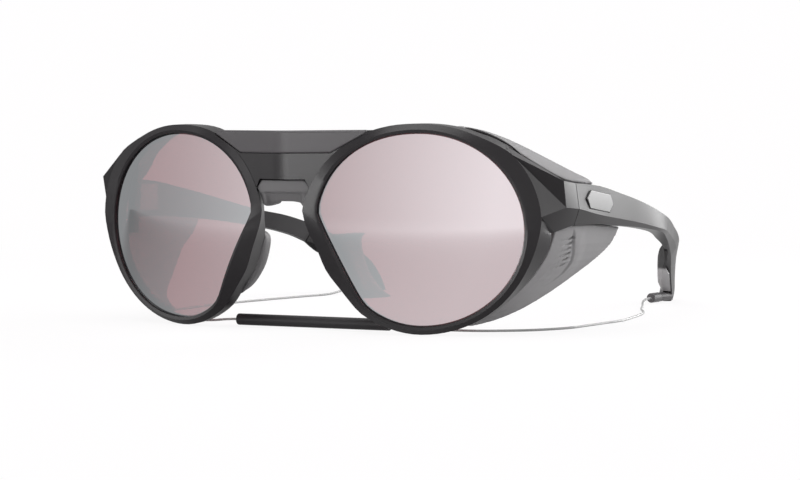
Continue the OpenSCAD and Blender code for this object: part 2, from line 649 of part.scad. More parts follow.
// The band inside the end piece that joins the two lobes
module shield_band() {
    block_of(shielded([
        [63.2, 14.2, 24.6], [68.2, 17.6, 24.6], [67.6, 19.0, 24.6], [62.4, 15.4, 24.6],
        [61.2, 13.8, 44.4], [66.6, 17.8, 44.0], [66.0, 19.0, 44.0], [60.4, 15.0, 44.4]]));
}

// ---- leash ----

cable_z = cable_d / 2 + 0.05;
sleeve_z = sleeve_d / 2 + 0.05;
// Ends of the sleeve, and the route of the cable from each arm's end stretch to the sleeve
sleeve_left = [24.6, 7.6, sleeve_z];
sleeve_right = [-22.6, 5.8, sleeve_z];
left_route = [[56.7, 109.8, cable_z], [60.6, 99.3, cable_z], [64.4, 91.4, cable_z],
    [66.8, 84.4, cable_z], [68.7, 73.4, cable_z], [70.1, 61.5, cable_z], [68.9, 52, cable_z],
    [67.6, 42, cable_z], [66, 33, cable_z], [60.5, 23.5, cable_z], [52.5, 17, cable_z],
    [44.5, 13.6, cable_z], [34, 9.8, 0.7], [29, 8.2, 1.3], [26.4, 7.7, 1.6], sleeve_left];
right_route = [[-54.4, 109.8, cable_z], [-57.2, 99.5, cable_z],
    [-59.4, 90, cable_z], [-61.5, 80, cable_z], [-63.6, 69, cable_z], [-65, 58, cable_z],
    [-65.2, 46, cable_z], [-64, 34, cable_z], [-60, 23, cable_z], [-53, 15, cable_z],
    [-44, 11.4, cable_z], [-34, 8.4, 0.7], [-27, 6.0, 1.4], [-24.4, 5.7, 1.6], sleeve_right];
collar_len = 5;

module tube(route, steps) {
    path = curve(route, steps);
    last = len(path) - 1;
    color(rubber) grounded() skin([for (i = [0:last])
        let (dir = path[min(i + 1, last)] - path[max(i - 1, 0)],
             across = cross(dir, [0, 0, 1]) / norm(dir))
        [for (k = [7:-1:0]) let (a = 22.5 + 45 * k)
            path[i] + cable_d / 2 * (across * cos(a) + [0, 0, sin(a)])]]);
}

module leash_cable(side) {
    tube(side > 0 ? left_route : right_route, 2);
}

// The stretch of cable that an arm carries, from its connector to the rest of the cable
module leash_end(side) {
    root = connector_root();
    end = connector_end();
    out = (end - root) / connector_len;
    route = side > 0 ? left_route : right_route;
    along = (route[1] - route[0]) / norm(route[1] - route[0]);
    function sided(p) = [side * p.x, p.y, p.z];
    a = sided(end + 0.03 * out);
    b = a + 6.5 * sided(out);
    d = route[0] + [0, 0.12, 0];
    c = d - 5 * along;
    tube([for (t = [0:0.25:1])
        a * (1 - t) ^ 3 + 3 * b * t * (1 - t) ^ 2 + 3 * c * t ^ 2 * (1 - t) + d * t ^ 3], 2);
}

barrel_len = connector_len - collar_len;
spigot_d = 1.4;
module leash_connector(side) {
    color([0.30, 0.29, 0.30]) grounded() on_side(side) connector_at() {
        translate([0, 0, -socket_deep]) cylinder(d = barrel_d, h = socket_deep + barrel_len, $fn = 32);
        cylinder(d = spigot_d, h = connector_len - 1, $fn = 32);
    }
}

module leash_collar(side) {
    color(rubber) grounded() on_side(side) connector_at() difference() {
        translate([0, 0, barrel_len + 0.02]) cylinder(d = collar_d, h = collar_len - 0.02, $fn = 32);
        cylinder(d = spigot_d + 2 * run, h = connector_len - 1 + fit, $fn = 32);
    }
}

module leash_sleeve() {
    way = sleeve_left - sleeve_right;
    color(rubber) grounded() translate(sleeve_right) rotate([0, 90, atan2(way.y, way.x)])
        translate([0, 0, 0.03]) cylinder(d = sleeve_d, h = norm(way) - 0.06, $fn = 32);
}

frame_front();
brow_bar();
lens(1);  // lens_left
lens(-1);  // lens_right
nose_saddle();
nose_pad(1);  // nose_pad_left
nose_pad(-1);  // nose_pad_right
side_shield(1);  // side_shield_left
side_shield(-1);  // side_shield_right
hinge_leaf_front(1);  // hinge_leaf_front_left
hinge_leaf_front(-1);  // hinge_leaf_front_right
hinge_screw(1);  // hinge_screw_left
hinge_screw(-1);  // hinge_screw_right
temple(1);  // temple_left
temple(-1);  // temple_right
hinge_leaf_temple(1);  // hinge_leaf_temple_left
hinge_leaf_temple(-1);  // hinge_leaf_temple_right
temple_badge(1);  // temple_badge_left
temple_badge(-1);  // temple_badge_right
ear_sock(1);  // ear_sock_left
ear_sock(-1);  // ear_sock_right
leash_connector(1);  // leash_connector_left
leash_connector(-1);  // leash_connector_right
leash_collar(1);  // leash_collar_left
leash_collar(-1);  // leash_collar_right
leash_end(1);  // leash_end_left
leash_end(-1);  // leash_end_right
leash_cable(1);  // leash_cable_left
leash_cable(-1);  // leash_cable_right
leash_sleeve();
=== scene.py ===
# %% [markdown]
# # Glacier glasses, dressed
# The solid model gives every piece its true shape and place, in metres, with +Z up, +Y from
# the lenses back along the arms and +X to the wearer's left. This notebook gives the pieces
# their soft edges, their finishes and their light. Each step says what the thing is on the
# real object and why it is made the way it is.

# %% Load the solid model
import json
from math import cos, radians, sin

import bpy
import numpy as np
from mathutils import Matrix, Vector, kdtree

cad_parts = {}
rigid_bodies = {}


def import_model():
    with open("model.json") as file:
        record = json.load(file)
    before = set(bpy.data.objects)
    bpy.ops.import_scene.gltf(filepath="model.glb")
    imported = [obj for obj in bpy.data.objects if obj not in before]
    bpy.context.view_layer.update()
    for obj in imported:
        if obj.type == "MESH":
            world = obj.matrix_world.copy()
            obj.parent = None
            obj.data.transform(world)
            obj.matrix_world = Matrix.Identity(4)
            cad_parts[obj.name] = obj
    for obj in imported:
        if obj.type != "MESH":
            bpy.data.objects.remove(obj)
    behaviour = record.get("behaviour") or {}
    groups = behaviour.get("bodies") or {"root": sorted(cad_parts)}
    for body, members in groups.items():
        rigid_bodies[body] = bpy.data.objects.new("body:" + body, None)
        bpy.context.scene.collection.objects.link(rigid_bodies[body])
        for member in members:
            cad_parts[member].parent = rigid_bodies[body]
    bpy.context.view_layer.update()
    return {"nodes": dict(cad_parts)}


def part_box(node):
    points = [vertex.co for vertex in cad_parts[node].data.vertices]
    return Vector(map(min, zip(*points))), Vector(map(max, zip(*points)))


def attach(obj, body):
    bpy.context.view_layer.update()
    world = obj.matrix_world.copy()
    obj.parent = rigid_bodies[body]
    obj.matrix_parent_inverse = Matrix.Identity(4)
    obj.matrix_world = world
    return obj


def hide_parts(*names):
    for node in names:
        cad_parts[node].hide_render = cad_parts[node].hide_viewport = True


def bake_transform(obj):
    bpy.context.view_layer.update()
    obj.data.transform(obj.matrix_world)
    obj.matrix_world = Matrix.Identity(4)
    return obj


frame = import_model()

# %% [markdown]
# ## Camera
# The view is from the wearer's left front, nearly level with the glasses, through a long lens
# about 63 cm away, so that the far lens is only a little smaller than the near one.

# %% Place the camera
AZIMUTH, ELEVATION, ROLL = radians(27.90), radians(2.93), radians(-0.19)
toward_camera = Vector((sin(AZIMUTH) * cos(ELEVATION), -cos(AZIMUTH) * cos(ELEVATION),
    sin(ELEVATION)))
camera_data = bpy.data.cameras.new("view")
camera_data.lens = 103.5
camera_data.sensor_width = 36
camera_data.clip_start = 0.01
camera = bpy.data.objects.new("view", camera_data)
bpy.context.scene.collection.objects.link(camera)
turn = toward_camera.to_track_quat("Z", "Y").to_matrix() @ Matrix.Rotation(ROLL, 3, "Z")
camera.matrix_world = Matrix.Translation((0.3173, -0.6074, 0.0564)) @ turn.to_4x4()
bpy.context.scene.camera = camera
print("camera", tuple(round(v, 3) for v in camera.location))

# %% [markdown]
# ## Leash
# A leash keeps the glasses round the neck: two thin plastic-coated steel cables, each clipped
# to the end of an arm and pushed into one rubber sleeve. It lies on the ground in the same
# curves as its solids. Each cable is swept along a smooth curve through a few chosen points,
# and the sleeve stays with the front.

# %% The two routes, in millimetres on the ground's axes
GROUND_Y = 68.0      # how far the model's middle lies behind the lens plane
left_knots = [(52.97, 125.76, 1.7), (52.95, 121.23, 1.5), (53.87, 117.18, 1.05),
    (55.26, 113.47, 0.6), (56.7, 109.8, 0.4), (60.6, 99.3, 0.4), (64.4, 91.4, 0.4),
    (66.8, 84.4, 0.4), (68.7, 73.4, 0.4),
    (70.1, 61.5, 0.4), (68.9, 52, 0.4), (67.6, 42, 0.4), (66, 33, 0.4),
    (60.5, 23.5, 0.4), (52.5, 17, 0.4), (44.5, 13.6, 0.4), (34, 9.8, 0.7), (29, 8.2, 1.3),
    (26.4, 7.7, 1.6), (24.6, 7.6, 1.65)]
right_knots = [(-52.97, 125.76, 1.7), (-52.65, 121.25, 1.5), (-52.88, 117.23, 1.05),
    (-53.5, 113.52, 0.6), (-54.4, 109.8, 0.4), (-57.2, 99.5, 0.4), (-59.4, 90, 0.4),
    (-61.5, 80, 0.4), (-63.6, 69, 0.4),
    (-65, 58, 0.4), (-65.2, 46, 0.4), (-64, 34, 0.4), (-60, 23, 0.4),
    (-53, 15, 0.4), (-44, 11.4, 0.4), (-34, 8.4, 0.7), (-27, 6.0, 1.4), (-24.4, 5.7, 1.6),
    (-22.6, 5.8, 1.65)]


def metres(points):
    return [Vector((x, y - GROUND_Y, z)) / 1000 for x, y, z in points]


def smooth_through(points, steps):
    """The points of a smooth curve through a list, with some steps between two of them."""
    path = []
    for i in range(len(points) - 1):
        before, a, b = points[max(i - 1, 0)], points[i], points[i + 1]
        after = points[min(i + 2, len(points) - 1)]
        for k in range(steps):
            t = k / steps
            path.append(a * (2 * t**3 - 3 * t**2 + 1) + (b - before) / 2 * (t**3 - 2 * t**2 + t)
                + b * (3 * t**2 - 2 * t**3) + (after - a) / 2 * (t**3 - t**2))
    return path + [points[-1]]


def length_of(path):
    return sum((b - a).length for a, b in zip(path, path[1:]))


left_path = smooth_through(metres(left_knots), 6)
right_path = smooth_through(metres(right_knots), 6)
print("cable lengths", round(length_of(left_path), 4), round(length_of(right_path), 4))

# %% Sweep the cables
CABLE = 0.0007


def deselect():
    if bpy.context.object and bpy.context.object.mode != "OBJECT":
        bpy.ops.object.mode_set(mode="OBJECT")
    bpy.ops.object.select_all(action="DESELECT")


def pick(piece):
    deselect()
    piece.select_set(True)
    bpy.context.view_layer.objects.active = piece


def swept_cable(name, path):
    line = bpy.data.curves.new(name, "CURVE")
    line.dimensions = "3D"
    spline = line.splines.new("POLY")
    spline.points.add(len(path) - 1)
    for point, place in zip(spline.points, path):
        point.co = (*place, 1)
    line.bevel_depth = CABLE / 2
    line.bevel_resolution = 3
    line.use_fill_caps = True
    cable = bpy.data.objects.new(name, line)
    bpy.context.scene.collection.objects.link(cable)
    pick(cable)
    bpy.ops.object.convert(target="MESH")
    bpy.ops.object.shade_smooth()
    return cable


cable_left = swept_cable("cable_left", left_path)
cable_right = swept_cable("cable_right", right_path)
print("cable faces", len(cable_left.data.polygons))

# %% [markdown]
# ## A way to write finishes
# A finish is a small network of nodes, and so is the light around the glasses. Writing one as
# sums and products is easier to read than a list of links, so a socket is wrapped in a class
# that turns arithmetic into Math nodes.

# %% Sockets that can be added and multiplied
class Knob:
    """One socket of a finish."""

    def __init__(self, finish, socket):
        self.finish, self.socket = finish, socket

    def maths(self, operation, first, second):
        return self.finish.node("ShaderNodeMath", {"operation": operation}, {0: first, 1: second})

    def __add__(self, other):
        return self.maths("ADD", self, other)

    def __sub__(self, other):
        return self.maths("SUBTRACT", self, other)

    def __rsub__(self, other):
        return self.maths("SUBTRACT", other, self)

    def __mul__(self, other):
        return self.maths("MULTIPLY", self, other)

    __radd__, __rmul__ = __add__, __mul__


class Finish:
    """The nodes of a material or of the world, built up one by one."""

    def __init__(self, name, owner=None):
        self.owner = owner or bpy.data.materials.new(name)
        self.owner.use_nodes = True
        self.tree = self.owner.node_tree
        self.tree.nodes.clear()

    def node(self, kind, settings=None, sockets=None, give=0):
        made = self.tree.nodes.new(kind)
        for key, value in (settings or {}).items():
            setattr(made, key, value)
        for key, value in (sockets or {}).items():
            if isinstance(value, Knob):
                self.tree.links.new(value.socket, made.inputs[key])
            else:
                made.inputs[key].default_value = value
        return Knob(self, made.outputs[give])

    def place(self):
        return self.node("ShaderNodeTexCoord", give="Object")

    def along(self, axis):
        return self.node("ShaderNodeSeparateXYZ", sockets={0: self.place()}, give=axis)

    def stretched(self, scale):
        return self.node("ShaderNodeMapping", sockets={"Vector": self.place(), "Scale": scale})

    def noise(self, scale, detail=2.0, vector=None):
        return self.node("ShaderNodeTexNoise", sockets={"Vector": vector or self.place(),
            "Scale": scale, "Detail": detail})

    def fade(self, value, low, high, start=0.0, end=1.0, course="SMOOTHSTEP"):
        return self.node("ShaderNodeMapRange", {"interpolation_type": course},
            {"Value": value, "From Min": low, "From Max": high, "To Min": start, "To Max": end})

    def vector(self, operation, sockets, give=0):
        return self.node("ShaderNodeVectorMath", {"operation": operation}, sockets, give)

    def mixed(self, share, first, second):
        return self.node("ShaderNodeMixShader", sockets={0: share, 1: first, 2: second})

    def blend(self, share, first, second):
        return self.node("ShaderNodeMix", {"data_type": "RGBA"}, {0: share, 6: first, 7: second}, 2)

    def bump(self, height, strength, distance):
        return self.node("ShaderNodeBump", sockets={"Height": height, "Strength": strength,
            "Distance": distance})

    def principled(self, sockets):
        return self.node("ShaderNodeBsdfPrincipled", sockets=sockets)

    def finished(self, surface, end="ShaderNodeOutputMaterial"):
        out = self.tree.nodes.new(end)
        self.tree.links.new(surface.socket, out.inputs["Surface"])
        print("finish", self.owner.name, len(self.tree.nodes), "nodes")
        return self.owner


def grey(value, warm=0.0):
    return (value * (1 + warm), value, value * (1 + warm * 0.85), 1)


# %% [markdown]
# ## Ground and light
# The glasses stand on plain white. One large soft lamp behind them on the wearer's left lights
# the arm and the shields and leaves the front in its own shade, and a second one above fills in.
# The surroundings, as far as the lenses mirror them, fade from white on that side to grey on
# the other, as in a small light tent. The ground that they mirror continues the same fade and
# is a little darker in front of them, where the glasses keep the light away.

# %% Surroundings
DIM, FULL = 0.35, 0.95      # what a mirror sees far out on the -X side and on the +X side


def ray(finish, kind):
    return finish.node("ShaderNodeLightPath", give=f"Is {kind} Ray")


def tent_share(finish, direction):
    """0 on the dim side of the light tent, 1 on the full side."""
    sideways = finish.node("ShaderNodeSeparateXYZ", sockets={0: direction}, give="X")
    return finish.fade(sideways, -1.0, 0.55, course="LINEAR")


def white(finish, kind, strength):
    return finish.node(kind, sockets={"Color": (1, 0.992, 0.997, 1), "Strength": strength})


world = bpy.data.worlds.new("light tent")
bpy.context.scene.world = world
air = Finish("light tent", world)
dim, full, soft, page = (white(air, "ShaderNodeBackground", v) for v in (DIM, FULL, 0.24, 1.0))
tent = air.mixed(tent_share(air, air.node("ShaderNodeTexCoord", give="Generated")), dim, full)
through = air.mixed(ray(air, "Transmission"), air.mixed(ray(air, "Glossy"), soft, tent), page)
air.finished(air.mixed(ray(air, "Camera"), through, page), "ShaderNodeOutputWorld")
bpy.context.scene.view_settings.view_transform = "Standard"

# %% White ground
deselect()
bpy.ops.mesh.primitive_plane_add(size=6, location=(0, 0, 0))
ground = bpy.context.object
ground.name = "ground"
paper = Finish("white paper")
reach = paper.vector("LENGTH", {0: paper.place()}, "Value")
ahead = paper.along("Y")
shade = 0.35 * paper.fade(ahead, -0.420, -0.070) * paper.fade(ahead, -0.060, -0.020, 1.0, 0.0)
outward = paper.vector("NORMALIZE", {0: paper.place()})
lit = paper.node("ShaderNodeBsdfDiffuse", sockets={"Color": (0.82, 0.815, 0.82, 1)})
dim, full, unlit, page = (white(paper, "ShaderNodeEmission", v) for v in (DIM, FULL, 0.0, 1.0))
tent = paper.mixed(tent_share(paper, outward), dim, full)
tent = paper.mixed(shade, tent, unlit)
seen = paper.mixed(paper.fade(reach, 0.10, 0.40, 0.90, 1.0), lit, page)
paper_face = paper.mixed(ray(paper, "Glossy"), lit, tent)
ground.data.materials.append(paper.finished(paper.mixed(ray(paper, "Camera"), paper_face, seen)))


# %% Lamps
def soft_lamp(name, place, width, height, watts, facing=None):
    """A lamp that shines along `facing`, or else at the middle of the glasses."""
    lamp = bpy.data.lights.new(name, "AREA")
    lamp.shape = "RECTANGLE"
    lamp.size, lamp.size_y = width, height
    lamp.energy = watts
    holder = bpy.data.objects.new(name, lamp)
    aim = -Vector(facing) if facing else Vector(place) - Vector((0, 0, 0.03))
    aimed = aim.to_track_quat("Z", "Y").to_matrix().to_4x4()
    holder.matrix_world = Matrix.Translation(place) @ aimed
    holder.visible_camera = False
    bpy.context.scene.collection.objects.link(holder)
    return holder


soft_lamp("key", (0.48, 0.96, 0.34), 0.9, 0.9, 13.5)
soft_lamp("top", (-0.08, -0.14, 1.0), 1.0, 1.0, 10)
sheen_lamps = [
    soft_lamp("brow", (-0.13, -0.90, 0.05), 0.32, 0.62, 16, facing=(0.015, 0.14, 0.99)),
    soft_lamp("far side", (-1.05, -0.75, 0.28), 0.8, 0.55, 4),
    soft_lamp("near side", (1.19, 0.15, 0.56), 0.5, 0.5, 3)]

# %% [markdown]
# ## Finishes
# The frame and the arms are satin moulded nylon, with the fine eroded skin of the mould. The
# brow bar is the same plastic in a softer, lighter coat. The pads, the saddle and the sleeve
# are black rubber, the shields and the ear ends grey rubber.

# %% Moulded nylon and its relations
def moulded(name, dark, light, rough, skin_depth, skin_scale=3200.0, level=0.5):
    finish = Finish(name)
    skin = finish.noise(skin_scale, 3.0)
    cloud = finish.noise(70.0, 3.0)
    return finish.finished(finish.principled({
        "Base Color": finish.blend(cloud, dark, light),
        "Roughness": rough - 0.05 + 0.06 * cloud + 0.05 * skin,
        "Specular IOR Level": level,
        "Normal": finish.bump(skin, 0.25, skin_depth)}))


nylon = moulded("satin nylon", grey(0.010, 0.14), grey(0.014, 0.14), 0.32, 0.00002, level=0.27)
bar_coat = moulded("soft coated nylon", grey(0.045, 0.08), grey(0.055, 0.08), 0.40, 0.00003,
    level=0.30)
black_rubber = moulded("black rubber", grey(0.018, 0.10), grey(0.024, 0.10), 0.50, 0.00003,
    level=0.3)
pad_rubber = moulded("pad rubber", grey(0.100, 0.03), grey(0.120, 0.03), 0.55, 0.00003,
    level=0.3)
saddle_rubber = moulded("saddle rubber", grey(0.095, 0.03), grey(0.110, 0.03), 0.55, 0.00003,
    level=0.3)
shield_rubber = moulded("shield rubber", grey(0.215, 0.02), grey(0.240, 0.02), 0.58, 0.00002,
    level=0.2)

# %% [markdown]
# The rubber on the ear end of an arm is one part, dark above a height of about 11 mm and pale
# below it. The tone changes softly with the height above the ground.

# %% Two-toned ear rubber
def two_toned(name, low, high, pale_tone, dark_tone):
    finish = Finish(name)
    skin = finish.noise(3200.0, 3.0)
    tone = finish.fade(finish.along("Z"), low, high)
    return finish.finished(finish.principled({
        "Base Color": finish.blend(tone, pale_tone, dark_tone),
        "Roughness": 0.46 + 0.06 * skin,
        "Specular IOR Level": 0.22,
        "Normal": finish.bump(skin, 0.25, 0.00002)}))


ear_rubber = two_toned("ear rubber", 0.0105, 0.0117, grey(0.31, 0.015), grey(0.010, 0.10))

# %% [markdown]
# A lens is tinted plastic with a silver coat on its front. The coat mirrors the surroundings
# and lets about a quarter of the light through, in the rose of the dye, so that what is behind
# shows faintly. It lies only on the front, which is the outer of the lens's two balls, so the
# distance from the middle of the balls tells the two apart. A narrow strip along the edge is
# painted black under the coat, as painted shade of the groove that the lens sits in.

# %% Mirror coat
COAT_SHARE, GLOSS_SHARE = 0.74, 0.05      # mirrored share of the light, front and back
FRONT_TINT, BACK_TINT = (0.95, 0.40, 0.42, 1), (0.65, 0.47, 0.49, 1)      # what passes through


def mirror_coat(side, centre, radius):
    finish = Finish(f"rose silver mirror {side}")
    haze = finish.noise(35.0, 2.0)
    from_centre = finish.vector("SUBTRACT", {0: finish.place(), 1: centre})
    reach = finish.vector("LENGTH", {0: from_centre}, "Value")
    front = finish.fade(reach, radius - 0.0006, radius - 0.0004)
    coat = finish.principled({
        "Base Color": finish.blend(haze, (0.91, 0.955, 0.98, 1), (0.93, 0.975, 1.0, 1)),
        "Metallic": 1.0,
        "Roughness": 0.03 + 0.02 * haze})
    through_front, through_back = (finish.node("ShaderNodeBsdfTransparent",
        sockets={"Color": tint}) for tint in (FRONT_TINT, BACK_TINT))
    faces = finish.mixed(GLOSS_SHARE + (COAT_SHARE - GLOSS_SHARE) * front,
        finish.mixed(front, through_back, through_front), coat)
    # A black strip along the lens edge, painted shade of the groove that the lens sits in.
    painted_groove_shade = finish.principled({
        "Base Color": grey(0.012), "Roughness": 0.6, "Specular IOR Level": 0.1})
    inward = finish.node("ShaderNodeAttribute", {"attribute_name": "inward"}, give="Fac")
    clear = finish.fade(inward, 0.0006, 0.0016)
    return finish.finished(finish.mixed(clear, finish.mixed(COAT_SHARE * front, painted_groove_shade, coat), faces))


# %% [markdown]
# The plate and the hinges are metal with fine brush lines. The two clips and their collars are
# smooth moulded plastic, and a clear grey sheath covers the steel strands of the cable.

# %% Metal and cable
def brushed(name, scale, dark, light):
    finish = Finish(name)
    lines = finish.noise(1.0, 4.0, finish.stretched(scale))
    return finish.finished(finish.principled({
        "Base Color": finish.blend(lines, grey(dark), grey(light)),
        "Metallic": 1.0,
        "Roughness": 0.26 + 0.16 * lines,
        "Normal": finish.bump(lines, 0.3, 0.00001)}))


plate_steel = brushed("brushed plate", (3000, 200, 9000), 0.10, 0.15)
black_steel = brushed("blackened steel", (4000, 4000, 4000), 0.10, 0.14)
connector_plastic = moulded("connector plastic", grey(0.085, 0.04), grey(0.095, 0.04), 0.50,
    0.00001, level=0.3)
collar_plastic = moulded("collar plastic", grey(0.095, 0.04), grey(0.105, 0.04), 0.45,
    0.00001, level=0.3)


def coated_cable():
    finish = Finish("coated steel cable")
    strand = finish.noise(900.0, 1.0)
    return finish.finished(finish.principled({
        "Base Color": finish.blend(strand, grey(0.34), grey(0.40)),
        "Roughness": 0.42 + 0.10 * strand,
        "Specular IOR Level": 0.35,
        "Coat Weight": 0.25,
        "Normal": finish.bump(strand, 0.15, 0.00002)}))


cable_coat = coated_cable()

# %% [markdown]
# ## Rounded copies
# Nothing moulded has a knife edge. A copy of a solid has its loose triangles joined, its flat
# facets merged and its corners rounded by a bevel, so that they catch a thin line of light.

# %% A copy with rounded edges
def joined_copy(node, name):
    piece = bpy.data.objects.new(name, frame["nodes"][node].data.copy())
    bpy.context.scene.collection.objects.link(piece)
    piece.data.materials.clear()
    pick(piece)
    bpy.ops.mesh.customdata_custom_splitnormals_clear()
    bpy.ops.object.mode_set(mode="EDIT")
    bpy.ops.mesh.select_all(action="SELECT")
    bpy.ops.mesh.remove_doubles(threshold=0.000004)
    bpy.ops.mesh.dissolve_limited(angle_limit=radians(0.4))
    bpy.ops.object.mode_set(mode="OBJECT")
    return piece


def apply_all(piece):
    pick(piece)
    for modifier in list(piece.modifiers):
        bpy.ops.object.modifier_apply(modifier=modifier.name)


def round_edges(piece, radius, angle=34, segments=2):
    bevel = piece.modifiers.new("edge radius", "BEVEL")
    bevel.width = radius
    bevel.segments = segments
    bevel.limit_method = "ANGLE"
    bevel.angle_limit = radians(angle)
    bevel.use_clamp_overlap = True
    apply_all(piece)


def dress(piece, body, finish, slot, *nodes, smooth=40):
    pick(piece)
    bpy.ops.object.shade_smooth_by_angle(angle=radians(smooth))
    weighted = piece.modifiers.new("flat faces stay flat", "WEIGHTED_NORMAL")
    weighted.keep_sharp = True
    apply_all(piece)
    piece.data.materials.clear()
    piece.data.materials.append(finish)
    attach(piece, body)
    if nodes:
        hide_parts(*nodes)
    print(piece.name, len(piece.data.polygons), "faces")
    return piece


# %% A rounded copy of a node, dressed
def rounded(node, name, body, finish, slot, radius, angle=34, segments=2, smooth=40):
    piece = joined_copy(node, name)
    round_edges(piece, radius, angle, segments)
    return dress(piece, body, finish, slot, node, smooth=smooth)


# %% [markdown]
# Each end of the front is a block cut like a stone. Its big front facet is broken by a valley
# that runs from the rim's upper end down to the outer corner. The solid has the other diagonal
# there, so the edge is dissolved and the other two corners are connected. The bar on the
# bridge is one plain piece with rounded edges.

# %% The front with its two valleys
END_CORNERS = {"rim": (62.13, -61.98, 47.32), "high": (73.3, -54.7, 40.9),
    "outer": (73.3, -53.0, 33.9), "low": (69.2, -59.8, 31.5)}      # millimetres, left side


def nearest(mesh, spot):
    return min(mesh.vertices, key=lambda v: (v.co - spot).length_squared).index


def turn_diagonal(piece, flip):
    mesh = piece.data
    rim, high, outer, low = (nearest(mesh, Vector((x * flip, y, z)) / 1000)
        for x, y, z in END_CORNERS.values())
    old = [e.index for e in mesh.edges if set(e.vertices) == {high, low}]
    if not old:
        print("no diagonal at", flip, [tuple(round(c * 1000, 1) for c in mesh.vertices[i].co)
            for i in (rim, high, outer, low)])
        return
    pick(piece)
    bpy.ops.object.mode_set(mode="EDIT")
    bpy.ops.mesh.select_all(action="DESELECT")
    bpy.ops.object.mode_set(mode="OBJECT")
    mesh.edges[old[0]].select = True
    bpy.ops.object.mode_set(mode="EDIT")
    bpy.ops.mesh.select_mode(type="EDGE")
    bpy.ops.mesh.dissolve_edges(use_verts=False)
    bpy.ops.mesh.select_mode(type="VERT")
    bpy.ops.mesh.select_all(action="DESELECT")
    bpy.ops.object.mode_set(mode="OBJECT")
    for corner in (END_CORNERS["rim"], END_CORNERS["outer"]):
        spot = nearest(mesh, Vector((corner[0] * flip, *corner[1:])) / 1000)
        mesh.vertices[spot].select = True
    bpy.ops.object.mode_set(mode="EDIT")
    bpy.ops.mesh.vert_connect()
    bpy.ops.mesh.select_mode(type="FACE")
    bpy.ops.object.mode_set(mode="OBJECT")
    print("valley", flip, len(mesh.polygons), "faces")


shell = joined_copy("frame_front", "front_shell")
for flip in (1, -1):
    turn_diagonal(shell, flip)
round_edges(shell, 0.00015, 20)
dress(shell, "front", nylon, "frame_nylon", "frame_front", smooth=32)

# %% The bar
rounded("brow_bar", "brow_cap", "front", bar_coat, "bar_nylon", 0.0002, angle=25)

# %% [markdown]
# ## Soft rubbers
# Rubber parts have no crisp edges at all. A copy of the solid is remeshed in small voxels and
# smoothed a little, which rounds every corner by about one voxel.

# %% Rubbers on the nose
def softened(node, name, voxel, passes=3):
    piece = joined_copy(node, name)
    skin = piece.modifiers.new("voxels", "REMESH")
    skin.mode = "VOXEL"
    skin.voxel_size = voxel
    relax = piece.modifiers.new("soft skin", "SMOOTH")
    relax.factor = 0.5
    relax.iterations = passes
    apply_all(piece)
    return piece


dress(softened("nose_saddle", "saddle_rest", 0.00030), "front", saddle_rubber, "dark_rubber",
    "nose_saddle", smooth=60)
for side in ("left", "right"):
    dress(softened(f"nose_pad_{side}", f"pad_{side}", 0.00035, 4), "front", pad_rubber,
        "dark_rubber", f"nose_pad_{side}", smooth=60)

# %% [markdown]
# ## Side shields
# On the outside of each shield the blades between the vents stand out at their lower edges,
# more so to the rear, as louvres do. Behind them the rubber steps out along a crease, which
# runs down and forward and fades. The edges next to the arm are brought closer to it, because
# smoothing had drawn them back. The shield is modelled once and mirrored.

# %% Relief of a shield
PITCH, RUN, MIDDLE = 1.48, 7.6, (-45.3, 21.3)      # vents: spacing, length, centre (y, z)
CREASE = [(-41.4, 28.5), (-41.2, 26.1), (-40.6, 23.3), (-39.5, 20.6), (-39.2, 18.4),
    (-40.4, 15.7), (-43.1, 13.9), (-46.5, 12.4)]


def ease(value, low, high):
    t = np.clip((value - low) / (high - low), 0, 1)
    return t * t * (3 - 2 * t)


def behind(line, y, z):
    """Distance behind a line that runs downward."""
    best, way = np.full(len(y), 1e9), np.ones(len(y))
    for (y0, z0), (y1, z1) in zip(line, line[1:]):
        dy, dz = y1 - y0, z1 - z0
        t = np.clip(((y - y0) * dy + (z - z0) * dz) / (dy * dy + dz * dz), 0, 1)
        ey, ez = y - y0 - t * dy, z - z0 - t * dz
        off = np.hypot(ey, ez)
        way = np.where(off < best, np.sign(dy * ez - dz * ey), way)
        best = np.minimum(best, off)
    return best * way


def relief(y, z):
    """How far the outside stands out at a place, in millimetres."""
    d = behind(CREASE, y, z)
    under = 1 - ease(z, 25.8, 28.2)
    step = 0.35 * ease(d, -0.15, 0.25) * (1 - ease(d, 1.5, 8)) * ease(z, 11.5, 16.5) * under
    groove = 0.22 * ease(d, -1.3, -0.7) * (1 - ease(d, -0.35, 0)) * ease(z, 14.5, 17.5) * under
    k = (z - MIDDLE[1]) / PITCH
    for _ in range(4):
        lean = 0.766 * np.tan(np.radians(12.5 - 2.1 * k))
        k = (z - MIDDLE[1] - lean * (y - MIDDLE[0] - 0.35 * k)) / PITCH
    share = np.clip((y - MIDDLE[0] - 0.35 * k) / RUN + 0.5, 0, 1)
    gap = 0.25 * (0.3 + 0.7 * share)
    t = (k - 0.5) % 1
    blade = (t > gap) & (t < 1 - gap) & (k > -2.5) & (k < 3.2)
    lift = 0.45 * share * (1 - (t - gap) / (1 - 2 * gap)) * (1 - ease(d, -1.6, -1.2))
    return step - groove + np.where(blade, lift, 0)


